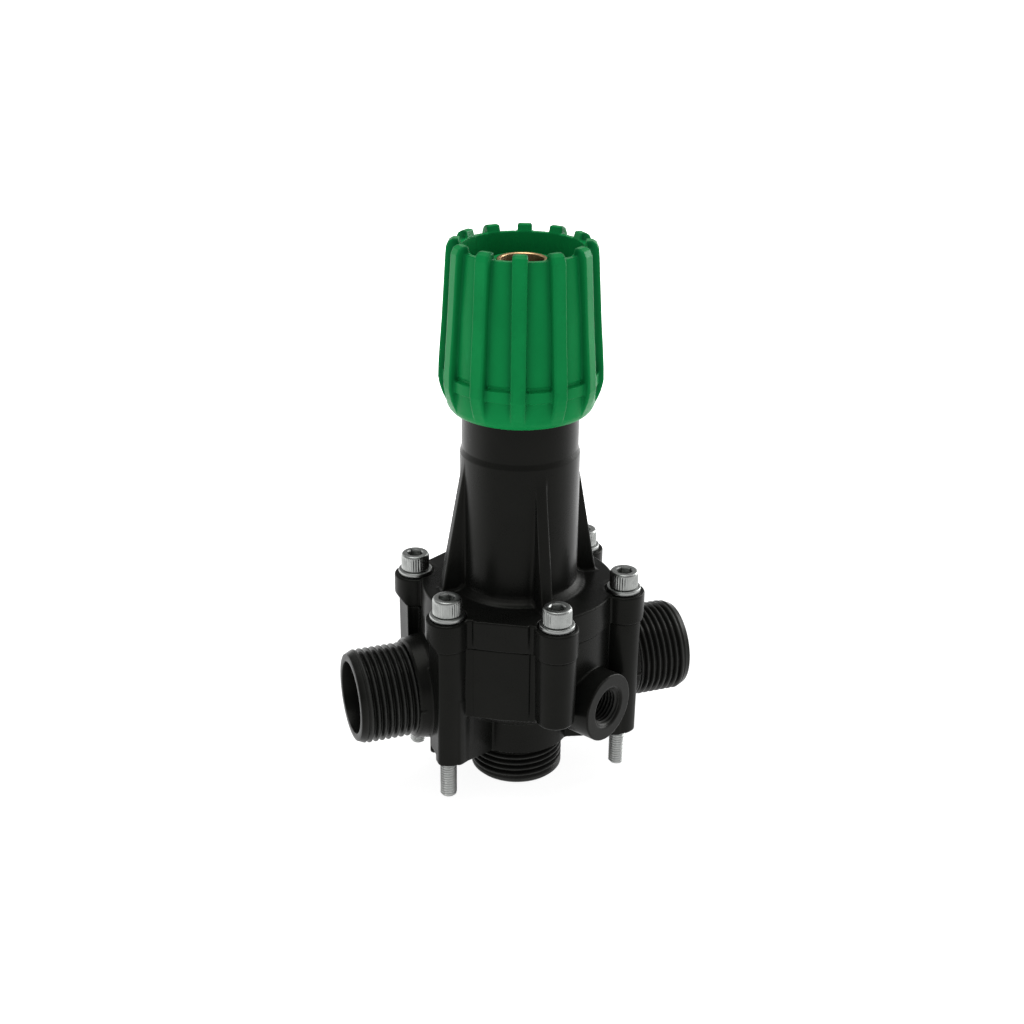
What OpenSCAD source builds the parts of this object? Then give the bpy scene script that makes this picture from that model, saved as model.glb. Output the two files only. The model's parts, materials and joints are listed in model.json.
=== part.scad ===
// Manual flow and pressure control valve with a screw-down knob.
// Two in-line side ports, a bottom port and a gauge port.
// Origin: valve axis, at the end plane of the bottom port. +Z up to the knob,
// +X along the right side port. Millimetres.

/* [Ports] */
// Outer diameter of the male threads, 1 inch parallel pipe thread
port_od = 33.25; // [32.8:0.05:33.6]
// Pitch of the male threads
port_pitch = 2.309; // [2.2:0.001:2.4]
// Depth of the male threads
port_depth = 1.45; // [1.2:0.05:1.5]
// Bore of the three large ports
port_bore = 25.5; // [23:0.5:26]
// Height of the side ports' axis above the bottom port's end
port_z = 38.5; // [37.5:0.25:39.5]
// Distance from the valve axis to the end of each side port
port_reach = 62.2; // [60:0.2:66]
// Outer diameter of the gauge port boss
gauge_od = 24.6; // [22:0.2:25]
// Wall diameter of the gauge port, 1/4 inch parallel pipe thread
gauge_bore = 11.8; // [11.4:0.1:12.2]
// Distance from the valve axis to the face of the gauge port
gauge_reach = 41.5; // [41:0.25:44]

/* [Body] */
// Outer radius of the body's round wall
body_r = 34; // [33.5:0.1:34.3]
// Height of the joint between body and bonnet
joint_z = 64; // [63.5:0.25:64.5]
// Underside of the body's round wall
wall_z = 37.5; // [36:0.5:38]
// Radius of the hub above the bottom port
hub_r = 19.2; // [18.5:0.1:20]
// Underside of the hub
hub_z = 14.5; // [14:0.25:15]
// Inner radius of the valve chamber
chamber_r = 27; // [26:0.5:28]
// Plane that the screw posts are cut back to, each side
post_x = 37.2; // [37.2:0.1:38.5]
// Radius of the plain collar behind each side port's thread
collar_r = 17.7; // [17:0.1:18.2]
// Distance from the valve axis to the outer face of that collar
collar_x = 41.9; // [40:0.1:42]

/* [Screw ring] */
// Pitch circle of the six bonnet screws
screw_pcd = 74.88; // [74.5:0.05:75.5]
// Bottom of the long screw posts
post_z = 19; // [18:0.5:20]
// Bottom of the two short screw bosses
boss_z = 38; // [37.5:0.5:40]
// Lower end of the long screws
screw_tip_z = 4; // [3:0.5:8]
// Nominal diameter of the screws
screw_d = 6; // [5.8:0.1:6]
// Reduced shank of the screws above their threaded end
shank_d = 5.6; // [5.3:0.1:5.6]
// Top of the long screws' threaded end, below the posts
stud_top_z = 17.8; // [17:0.1:17.9]

/* [Bonnet] */
// Top face of the bonnet's flange
flange_z = 75; // [74.5:0.25:75.5]
// Outer radius of the tower above its step
tower_r = 20; // [19.6:0.1:20]
// Height of the step on the tower
tower_step_z = 126; // [124:0.5:130]
// Top face of the tower
tower_top_z = 149.5; // [149:0.25:150]
// Radius of the spring chamber in the tower
spring_bore_r = 16.5; // [16.2:0.1:17]
// Outer reach of the tower's ribs at the flange
rib_reach = 28.7; // [26:0.1:30]
// Thickness of the tower's ribs
rib_w = 4; // [3:0.25:5]

/* [Knob] */
// Number of grip ribs
knob_ribs = 12; // [8:1:16]
// Width of a grip rib
knob_rib_w = 4.9; // [4:0.1:5.2]
// Turn of the first grip rib about the valve axis
knob_turn = 7.7; // [0:0.1:30]
// Lower edge of the knob
knob_z = 139.2; // [139:0.1:139.8]
// Top of the knob's wall
knob_rim_z = 194.7; // [190:0.1:196]
// Radius of the knob's open top
knob_cup_r = 20; // [19:0.25:20.5]

/* [Spindle and spring] */
// Thread diameter of the adjusting spindle
spindle_d = 16; // [15.8:0.1:16]
// Outer diameter of the spindle's head in the knob
head_d = 17; // [16.8:0.1:17.4]
// Hollow in the spindle's head
head_bore = 14; // [12:0.5:14.5]
// Wire diameter of the pressure spring
wire_d = 3.8; // [3:0.1:4]
// Mean radius of the pressure spring
spring_r = 13.2; // [13:0.1:13.3]
// Number of turns of the pressure spring, end turns included
spring_turns = 8.5; // [7:0.5:10]

/* [Hidden] */

BLACK = [0.09, 0.09, 0.09];
GREEN = [0.06, 0.50, 0.28];
STEEL = [0.74, 0.75, 0.76];
BRASS = [0.71, 0.53, 0.27];
RUBBER = [0.14, 0.14, 0.15];

screw_r = screw_pcd / 2;
long_at = [30, 150, 210, 330];
short_at = [90, 270];
all_at = [30, 90, 150, 210, 270, 330];
port_r = port_od / 2;
bore_r = port_bore / 2;
rim_r = port_r - port_depth;
washer_z0 = flange_z - 0.6;
washer_z1 = washer_z0 + 1.6;
head_z1 = washer_z1 + 6;
insert_z0 = 52;
insert_r = 4.1;
eps = 0.01;

// Places its children at each of the given angles on the screw circle
module around(angles) {
    for (a = angles) translate([screw_r * cos(a), screw_r * sin(a), 0]) children();
}

// Half outline of a male pipe end that stands on Z = 0 and points down:
// chamfered end, thread of n turns in ring form, then a plain neck up to z_top
function pipe_end(n, lead, z_top) = concat(
    [[0, 0], [rim_r - 0.1, 0], [port_r - 0.25, 1.3], [port_r, 1.6], [port_r, lead]],
    [for (i = [0:n - 1]) each [
        [rim_r, lead + i * port_pitch + 0.75],
        [rim_r, lead + i * port_pitch + 1.05],
        [port_r, lead + i * port_pitch + 1.8],
        [port_r, lead + (i + 1) * port_pitch]]],
    [[rim_r, lead + n * port_pitch + 0.75], [rim_r, z_top], [0, z_top]]);

module pipe(n, lead, z_top) {
    rotate_extrude($fn = 96) polygon(pipe_end(n, lead, z_top));
}

// Collar that carries a side port's thread, along Z
module side_collar() {
    rotate_extrude($fn = 96) polygon([[0, 20], [collar_r + 0.8, 20], [collar_r + 0.8, 36.3],
        [collar_r, collar_x - 0.8], [collar_r - 0.8, collar_x], [0, collar_x]]);
}

// One of the four radial webs that tie the long posts to the hub, widening towards the post
module post_web(a) {
    rotate([0, 0, a]) intersection() {
        rotate([90, 0, 0]) linear_extrude(height = 14, center = true)
            polygon([[12, hub_z], [hub_r, hub_z], [screw_r + 1.6, post_z + 0.5], [screw_r + 1.6, 40], [12, 40]]);
        linear_extrude(height = 60)
            polygon([[10, -4.4], [hub_r - 0.5, -4.4], [screw_r - 0.8, -6.4], [screw_r + 2, -4.4],
                [screw_r + 2, 4.4], [screw_r - 0.8, 6.4], [hub_r - 0.5, 4.4], [10, 4.4]]);
    }
}

module valve_body() {
    color(BLACK) difference() {
        union() {
            // hub, sloping underside and round wall
            rotate_extrude($fn = 128) polygon([[0, hub_z], [hub_r - 0.8, hub_z], [hub_r, hub_z + 0.8],
                [hub_r, 27], [body_r - 1, wall_z - 0.5], [body_r, wall_z + 0.5],
                [body_r, joint_z], [0, joint_z]]);
            // bottom port
            pipe(5, 2.0, hub_z + 1);
            // side ports
            for (s = [-1, 1]) translate([s * port_reach, 0, port_z]) rotate([0, -s * 90, 0])
                pipe(7, 3.5, port_reach - 20);
            for (s = [-1, 1]) translate([0, 0, port_z]) rotate([0, s * 90, 0]) side_collar();
            // moulding flash along the collars' parting line
            for (sx = [-1, 1], sy = [-1, 1])
                translate([sx * (collar_x - 2.2), sy * (collar_r - 0.3), port_z]) cube([3.8, 1.3, 1], center = true);
            // flat roots of the side ports
            translate([-33.5, -12.4, port_z]) cube([67, 24.8, joint_z - port_z]);
            // screw posts, cut back to clear the union nuts
            intersection() {
                union() {
                    around(long_at) translate([0, 0, post_z])
                        cylinder(h = joint_z - post_z, r1 = 6.4, r2 = 7, $fn = 64);
                    for (sx = [-1, 1], sy = [-1, 1]) {
                        // thin rib beside each port
                        translate([sx * (post_x + 26) / 2, sy * 13.2, (joint_z + post_z) / 2])
                            cube([post_x - 26, 1.2, joint_z - post_z], center = true);
                        translate([sx * (post_x + 26) / 2, sy * 16.2, (joint_z + 27) / 2])
                            cube([post_x - 26, 5.4, joint_z - 27], center = true);
                    }
                }
                translate([-post_x, -50, 0]) cube([2 * post_x, 100, 100]);
            }
            around(short_at) translate([0, 0, boss_z])
                cylinder(h = joint_z - boss_z, r1 = 6.6, r2 = 7, $fn = 64);
            for (a = long_at) post_web(a);
            // blank pads between the screws
            for (a = [60, 120, 240]) rotate([0, 0, a])
                translate([29.6, -9.6, wall_z]) cube([4.6, 19.2, joint_z - wall_z]);
            // gauge port boss
            rotate([0, 0, 300]) translate([0, 0, port_z]) rotate([0, 90, 0])
                cylinder(h = gauge_reach, d = gauge_od, $fn = 96);
        }
        // main passage, chamber and bottom passage
        translate([-port_reach - 1, 0, port_z]) rotate([0, 90, 0])
            cylinder(h = 2 * port_reach + 2, r = bore_r, $fn = 96);
        translate([0, 0, wall_z + 0.5]) cylinder(h = 40, r = chamber_r, $fn = 128);
        translate([0, 0, 22]) cylinder(h = 20, r = 15.5, $fn = 96);
        translate([0, 0, -1]) cylinder(h = 30, r = bore_r, $fn = 96);
        // diaphragm recess
        translate([0, 0, joint_z - 1]) cylinder(h = 5, r = 32.5, $fn = 128);
        // gauge port, countersunk
        rotate([0, 0, 300]) translate([0, 0, port_z]) rotate([0, 90, 0]) {
            translate([0, 0, gauge_reach - 12]) cylinder(h = 13, d = gauge_bore, $fn = 64);
            translate([0, 0, 20]) cylinder(h = 13, r = 3, $fn = 48);
            translate([0, 0, gauge_reach - 1.2]) cylinder(h = 1.3, d1 = gauge_bore, d2 = gauge_bore + 2.6, $fn = 64);
        }
        // screw holes and insert seats
        around(long_at) translate([0, 0, 10]) cylinder(h = 60, r = screw_d / 2 + 0.2, $fn = 48);
        around(short_at) translate([0, 0, boss_z + 4]) cylinder(h = 40, r = screw_d / 2 + 0.2, $fn = 48);
        around(all_at) translate([0, 0, insert_z0]) cylinder(h = 30, r = insert_r, $fn = 48);
    }
}

// Triangular stiffening rib of the tower, standing on the flange
module tower_rib() {
    rotate([90, 0, 0]) linear_extrude(height = rib_w, center = true)
        polygon([[18, flange_z - 1], [rib_reach, flange_z - 1], [rib_reach, flange_z + 1],
            [tower_r - 0.6, 127], [18, 127]]);
}

module bonnet() {
    color(BLACK) difference() {
        union() {
            translate([0, 0, joint_z]) cylinder(h = flange_z - joint_z, r = 34.4, $fn = 128);
            around(all_at) translate([0, 0, joint_z + 2.5])
                cylinder(h = washer_z0 - joint_z - 2.5, r = 7.5, $fn = 64);
            around(all_at) translate([0, 0, joint_z])
                cylinder(h = 2.5, r1 = 6.2, r2 = 7.5, $fn = 64);
            for (a = [60, 120, 240]) rotate([0, 0, a])
                translate([30, -9.6, joint_z + 1.5]) cube([5, 19.2, flange_z - joint_z - 1.8]);
            for (a = [60, 120, 240]) rotate([0, 0, a])
                translate([30, -8.2, joint_z]) cube([5, 16.4, 3]);
            rotate_extrude($fn = 128) polygon([[0, flange_z - 1], [23, flange_z - 1], [22.6, flange_z + 0.8],
                [tower_r + 0.6, flange_z + 3], [tower_r + 0.6, tower_step_z - 1.2], [tower_r, tower_step_z + 0.3],
                [tower_r, tower_top_z - 1], [tower_r - 1, tower_top_z], [0, tower_top_z]]);
            for (a = [0:90:270]) rotate([0, 0, a]) tower_rib();
        }
        // diaphragm recess and chamber above it
        translate([0, 0, joint_z - 1]) cylinder(h = 2, r = 32.5, $fn = 128);
        translate([0, 0, joint_z]) cylinder(h = 4, r = chamber_r, $fn = 128);
        translate([0, 0, joint_z + 4]) cylinder(h = 3, r1 = chamber_r, r2 = chamber_r - 5, $fn = 128);
        // spring chamber, bush seat, screw holes and washer seats
        translate([0, 0, joint_z]) cylinder(h = 139 - joint_z, r = spring_bore_r, $fn = 128);
        translate([0, 0, 130]) cylinder(h = 30, r = 11, $fn = 96);
        around(all_at) {
            translate([0, 0, joint_z - 5]) cylinder(h = 40, r = screw_d / 2 + 0.2, $fn = 48);
            translate([0, 0, washer_z0]) cylinder(h = 1.2, r = 6.6, $fn = 64);
        }
    }
}

// Grip rib of the knob: an upright plate with a rounded outer edge line
module grip_rib() {
    rotate([90, 0, 0]) linear_extrude(height = knob_rib_w, center = true)
        polygon([[22.2, 141], [24.3, 141], [25, 142.2], [26, 144.3], [26.8, 146.4], [27.35, 148.5], [27.7, 150.5],
            [27.5, 155], [27.05, 162], [26.4, 170], [25.8, 180], [25, 193], [24.6, 195.2], [23.6, 196.6],
            [22.2, 197.1], [20.8, 196.4], [knob_cup_r, 195], [knob_cup_r, 192], [22.2, 170], [22.2, 150]]);
}

module control_knob() {
    color(GREEN) difference() {
        union() {
            rotate_extrude($fn = 128) polygon([
                [20.6, knob_z], [21.7, knob_z], [23.7, 140.1], [24.5, 141.1], [25, 142.2], [25.3, 145], [25.4, 149.4],
                [26, 149.6], [26, 153.2], [24.9, 153.6], [24.7, 160], [23.8, 175], [22.4, 192], [22, knob_rim_z - 0.5], [21.5, knob_rim_z], [knob_cup_r, knob_rim_z],
                [knob_cup_r, 180], [19.4, 167], [11.3, 167], [11.0, 190], [8.5, 190], [8.5, 163],
                [21.3, 163], [21.3, 152], [20.6, 150]]);
            for (i = [0:knob_ribs - 1]) rotate([0, 0, knob_turn + i * 360 / knob_ribs]) grip_rib();
        }
    }
}

module adjusting_spindle() {
    color(BRASS) difference() {
        rotate_extrude($fn = 96) polygon([[0, 135.02], [7, 135.02], [7, 135.5], [7, 137], [spindle_d / 2, 137.5],
            [spindle_d / 2, 163], [head_d / 2, 163], [head_d / 2, 190.3], [head_d / 2 - 0.4, 190.7], [0, 190.7]]);
        translate([0, 0, 166]) cylinder(h = 30, d = head_bore, $fn = 96);
    }
}

module spindle_bush() {
    color(BRASS) rotate_extrude($fn = 96) polygon([[spindle_d / 2 + 0.05, 139], [11, 139], [11, tower_top_z],
        [14, tower_top_z], [14, tower_top_z + 1.5], [spindle_d / 2 + 0.05, tower_top_z + 1.5],
        [spindle_d / 2 + 0.05, 147.3], [10.4, 147.3], [10.4, 144.9], [spindle_d / 2 + 0.05, 144.9]]);
}

module spindle_seal() {
    color(RUBBER) translate([0, 0, 146.1]) rotate_extrude($fn = 96) translate([9.22, 0]) circle(r = 1.15, $fn = 32);
}

module retaining_ring() {
    color(STEEL) difference() {
        translate([0, 0, 135.5]) cylinder(h = 1.5, r = 10, $fn = 96);
        translate([0, 0, 130]) cylinder(h = 10, r = 7, $fn = 96);
        translate([0, -1.5, 130]) cube([12, 3, 10]);
    }
}

module thrust_ball() {
    color(STEEL) translate([0, 0, 131]) sphere(r = 4, $fn = 64);
}

module upper_spring_plate() {
    color(STEEL) difference() {
        rotate_extrude($fn = 96) polygon([[0, 120], [9.8, 120], [10.6, 121], [10.6, 124], [15.8, 124], [15.8, 127.5],
            [8, 127.5], [7, 130], [0, 130]]);
        translate([0, 0, 131]) sphere(r = 4, $fn = 64);
    }
}

// Height of the wire's centre at turn t of a coil spring with closed end turns
function coil_z(t, n, z0, z1, w) = let (e = 1.25, p = w * 1.03, a = (z1 - z0 - w - 2 * e * p) / (n - 2 * e))
    z0 + w / 2 + (t < e ? t * p : t > n - e ? z1 - z0 - w - (n - t) * p : e * p + (t - e) * a);

// Wire of round section wound n turns between z0 and z1
module coil_spring(r, w, z0, z1, n, steps = 24, sides = 10) {
    m = round(n * steps);
    pts = [for (i = [0:m], j = [0:sides - 1]) let (t = i / steps, q = 360 * t, a = 360 * j / sides)
        [(r + w / 2 * cos(a)) * cos(q), (r + w / 2 * cos(a)) * sin(q), coil_z(t, n, z0, z1, w) + w / 2 * sin(a)]];
    faces = concat(
        [[for (j = [0:sides - 1]) j]],
        [for (i = [0:m - 1], j = [0:sides - 1]) let (k = (j + 1) % sides)
            [i * sides + j, (i + 1) * sides + j, (i + 1) * sides + k, i * sides + k]],
        [[for (j = [sides - 1:-1:0]) m * sides + j]]);
    polyhedron(points = pts, faces = faces);
}

module pressure_spring() {
    color(STEEL) coil_spring(spring_r, wire_d, 68.05, 123.95, spring_turns);
}

module lower_spring_plate() {
    color(STEEL) difference() {
        rotate_extrude($fn = 96) polygon([[0, 65], [14.8, 65], [15.8, 66], [15.8, 68], [10.6, 68], [10.6, 70.2], [9.8, 71], [0, 71]]);
        translate([0, 0, 60]) cylinder(h = 20, r = 4, $fn = 64);
    }
}

module stem_nut() {
    color(STEEL) difference() {
        translate([0, 0, 72.6]) cylinder(h = 5, r = 7.5, $fn = 6);
        translate([0, 0, 70]) cylinder(h = 12, r = 4, $fn = 64);
    }
}

module stem_lock_washer() {
    color(STEEL) difference() {
        translate([0, 0, 71]) cylinder(h = 1.6, r = 7.2, $fn = 64);
        translate([0, 0, 70]) cylinder(h = 12, r = 4, $fn = 64);
    }
}

module diaphragm() {
    color(RUBBER) difference() {
        translate([0, 0, joint_z - 1]) cylinder(h = 2, r = 32.5, $fn = 128);
        translate([0, 0, 60]) cylinder(h = 20, r = 4, $fn = 64);
    }
}

module diaphragm_washer() {
    color(BRASS) difference() {
        rotate_extrude($fn = 96) polygon([[0, 59.5], [13, 59.5], [14, 60.5], [14, 62.2], [13.2, 63], [0, 63]]);
        translate([0, 0, 50]) cylinder(h = 20, r = 4, $fn = 64);
    }
}

module valve_stem() {
    color(STEEL) rotate_extrude($fn = 64) polygon([[0, 20], [3.5, 20], [4, 20.5], [4, 36], [5.5, 36], [5.5, 59.5],
        [4, 59.5], [4, 78.5], [3.5, 79], [0, 79]]);
}

module valve_disc() {
    color(BRASS) difference() {
        rotate_extrude($fn = 96) polygon([[0, 32], [13.5, 32], [13.5, 34], [12.5, 35], [8, 36], [0, 36]]);
        translate([0, 0, 30]) cylinder(h = 20, r = 4, $fn = 64);
    }
}

module disc_seal() {
    color(RUBBER) difference() {
        translate([0, 0, 29.5]) cylinder(h = 2.5, r = 13, $fn = 96);
        translate([0, 0, 25]) cylinder(h = 20, r = 4, $fn = 64);
    }
}

// Core that clamps the seal, with four wings that slide in the seat's bore
module stem_guide() {
    color(BRASS) difference() {
        union() {
            translate([0, 0, 20]) cylinder(h = 9.5, r = 6.2, $fn = 64);
            intersection() {
                translate([0, 0, 18]) cylinder(h = 11.5, r = 9.95, $fn = 96);
                for (a = [0, 90]) rotate([0, 0, a]) translate([-12, -1.2, 18]) cube([24, 2.4, 12]);
            }
        }
        translate([0, 0, 10]) cylinder(h = 30, r = 4, $fn = 64);
    }
}

module valve_seat() {
    color(BRASS) rotate_extrude($fn = 96) polygon([[10, 22], [15.5, 22], [15.5, 23.9], [13, 23.9], [13, 26.5], [15.5, 26.5],
        [15.5, 28], [12.4, 28], [11.8, 29.5], [10.4, 29.5], [10, 29.1]]);
}

module seat_oring() {
    color(RUBBER) translate([0, 0, 25.2]) rotate_extrude($fn = 96) translate([14.26, 0]) circle(r = 1.22, $fn = 32);
}

module threaded_inserts() {
    color(BRASS) around(all_at) difference() {
        translate([0, 0, insert_z0]) cylinder(h = joint_z - insert_z0 - 0.2, r = insert_r, $fn = 48);
        translate([0, 0, insert_z0 - 5]) cylinder(h = 30, r = screw_d / 2 + 0.05, $fn = 48);
    }
}

// Socket head cap screw whose head stands on the washer, threaded from its tip up to thread_z
module cap_screw(tip_z, thread_z) {
    difference() {
        union() {
            rotate_extrude($fn = 64) polygon([[0, tip_z], [screw_d / 2 - 0.7, tip_z], [screw_d / 2, tip_z + 0.7],
                [screw_d / 2, thread_z], [shank_d / 2, thread_z + 0.2], [shank_d / 2, washer_z1], [5, washer_z1],
                [5, head_z1 - 0.5], [4.5, head_z1], [0, head_z1]]);
        }
        translate([0, 0, head_z1 - 3.2]) cylinder(h = 5, r = 2.9, $fn = 6);
    }
}

module long_screws() {
    color(STEEL) around(long_at) cap_screw(screw_tip_z, stud_top_z);
}

module short_screws() {
    color(STEEL) around(short_at) cap_screw(washer_z1 - 30, joint_z - 0.5);
}

module screw_washers() {
    color(STEEL) around(all_at) difference() {
        translate([0, 0, washer_z0]) cylinder(h = 1.6, r = 6, $fn = 64);
        translate([0, 0, washer_z0 - 5]) cylinder(h = 12, r = screw_d / 2 + 0.2, $fn = 48);
    }
}

valve_body();
bonnet();
control_knob();
adjusting_spindle();
spindle_bush();
spindle_seal();
retaining_ring();
thrust_ball();
upper_spring_plate();
pressure_spring();
lower_spring_plate();
stem_nut();
stem_lock_washer();
diaphragm();
diaphragm_washer();
valve_stem();
valve_disc();
disc_seal();
stem_guide();
valve_seat();
seat_oring();
threaded_inserts();
long_screws();
short_screws();
screw_washers();
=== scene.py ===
import json
import math

import bmesh
import bpy
import numpy as np
from mathutils import Matrix, Vector


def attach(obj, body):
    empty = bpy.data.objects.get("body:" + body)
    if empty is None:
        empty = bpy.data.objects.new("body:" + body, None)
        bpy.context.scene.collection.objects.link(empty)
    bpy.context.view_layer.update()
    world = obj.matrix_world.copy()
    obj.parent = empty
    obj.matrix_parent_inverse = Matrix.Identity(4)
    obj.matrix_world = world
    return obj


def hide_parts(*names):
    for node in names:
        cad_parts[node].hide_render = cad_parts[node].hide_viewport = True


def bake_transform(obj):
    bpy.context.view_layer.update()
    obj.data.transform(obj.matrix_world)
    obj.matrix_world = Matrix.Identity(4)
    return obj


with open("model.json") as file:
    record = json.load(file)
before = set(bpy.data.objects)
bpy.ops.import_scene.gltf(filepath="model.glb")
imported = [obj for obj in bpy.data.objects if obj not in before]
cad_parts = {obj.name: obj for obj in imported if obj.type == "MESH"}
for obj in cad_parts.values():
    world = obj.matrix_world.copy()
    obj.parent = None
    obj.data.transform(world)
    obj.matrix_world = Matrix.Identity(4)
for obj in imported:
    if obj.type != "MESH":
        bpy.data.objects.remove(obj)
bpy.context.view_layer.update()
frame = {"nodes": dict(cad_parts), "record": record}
NODES = frame["nodes"]
MM = 0.001

# ------------------------------------------------------------------ camera
AZ, EL, ROLL = math.radians(-20.207), math.radians(23.636), math.radians(0.612)
back = Vector((math.sin(AZ) * math.cos(EL), -math.cos(AZ) * math.cos(EL), math.sin(EL)))
right = Vector((math.cos(AZ), math.sin(AZ), 0))
up = back.cross(right)
r2 = right * math.cos(ROLL) + up * math.sin(ROLL)
u2 = -right * math.sin(ROLL) + up * math.cos(ROLL)
cam_data = bpy.data.cameras.new("camera")
cam_data.sensor_width = 36.0
cam_data.lens = 1513.165 / 1024 * 36.0
cam_data.clip_start = 0.01
cam_data.clip_end = 30.0
cam = bpy.data.objects.new("camera", cam_data)
bpy.context.scene.collection.objects.link(cam)
m = Matrix.Identity(4)
for i, v in enumerate((r2, u2, back)):
    m[0][i], m[1][i], m[2][i] = v.x, v.y, v.z
m[0][3], m[1][3], m[2][3] = -0.16883, -0.45144, 0.31176
cam.matrix_world = m
bpy.context.scene.camera = cam


# ------------------------------------------------------------------ distance fields, in millimetres
def inset(points, rad):
    """The outline of a simple polygon moved inwards by rad."""
    p = np.asarray(points, float)
    area = 0.5 * np.sum(p[:, 0] * np.roll(p[:, 1], -1) - np.roll(p[:, 0], -1) * p[:, 1])
    if area < 0:
        p = p[::-1]
    e = np.roll(p, -1, 0) - p
    e /= np.linalg.norm(e, axis=1)[:, None]
    n = np.stack([-e[:, 1], e[:, 0]], 1)
    out = []
    for i in range(len(p)):
        n0, n1 = n[i - 1], n[i]
        k = 1 + n0 @ n1
        out.append(p[i] + (n0 + n1) * rad / max(k, 0.15))
    return np.array(out)


def poly(u, v, points, rad=0.0):
    """Signed distance to a closed polygon in the plane, negative inside, with convex corners rounded by rad."""
    pts = inset(points, rad) if rad else np.asarray(points, float)
    best = np.full(u.shape, 1e9, u.dtype)
    inside = np.zeros(u.shape, bool)
    n = len(pts)
    for i in range(n):
        ax, ay = pts[i]
        bx, by = pts[(i + 1) % n]
        ex, ey = bx - ax, by - ay
        wx, wy = u - ax, v - ay
        t = np.clip((wx * ex + wy * ey) / (ex * ex + ey * ey), 0, 1)
        dx, dy = wx - ex * t, wy - ey * t
        best = np.minimum(best, dx * dx + dy * dy)
        if ay != by:
            c = (ay > v) != (by > v)
            inside ^= c & (u < (bx - ax) * (v - ay) / (by - ay) + ax)
    d = np.sqrt(best)
    return np.where(inside, -d, d) - rad


def smin(a, b, k):
    if np.ndim(k) == 0 and k <= 0:
        return np.minimum(a, b)
    h = np.maximum(k - np.abs(a - b), 0) / k
    return np.minimum(a, b) - h * h * k * 0.25


def smax(a, b, k):
    if k <= 0:
        return np.maximum(a, b)
    h = np.maximum(k - np.abs(a - b), 0) / k
    return np.maximum(a, b) + h * h * k * 0.25


def slab(v, lo, hi):
    return np.maximum(lo - v, v - hi)


def rbox(x, y, z, lo, hi, rad):
    c = [(a + b) / 2 for a, b in zip(lo, hi)]
    h = [(b - a) / 2 - rad for a, b in zip(lo, hi)]
    q = [np.abs(v - c[i]) - h[i] for i, v in enumerate((x, y, z))]
    outside = np.sqrt(sum(np.maximum(a, 0) ** 2 for a in q))
    return outside + np.minimum(np.maximum(q[0], np.maximum(q[1], q[2])), 0) - rad


def rot(x, y, deg):
    """Coordinates along and across the direction at deg in the XY plane."""
    c, s = math.cos(math.radians(deg)), math.sin(math.radians(deg))
    return x * c + y * s, -x * s + y * c


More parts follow.
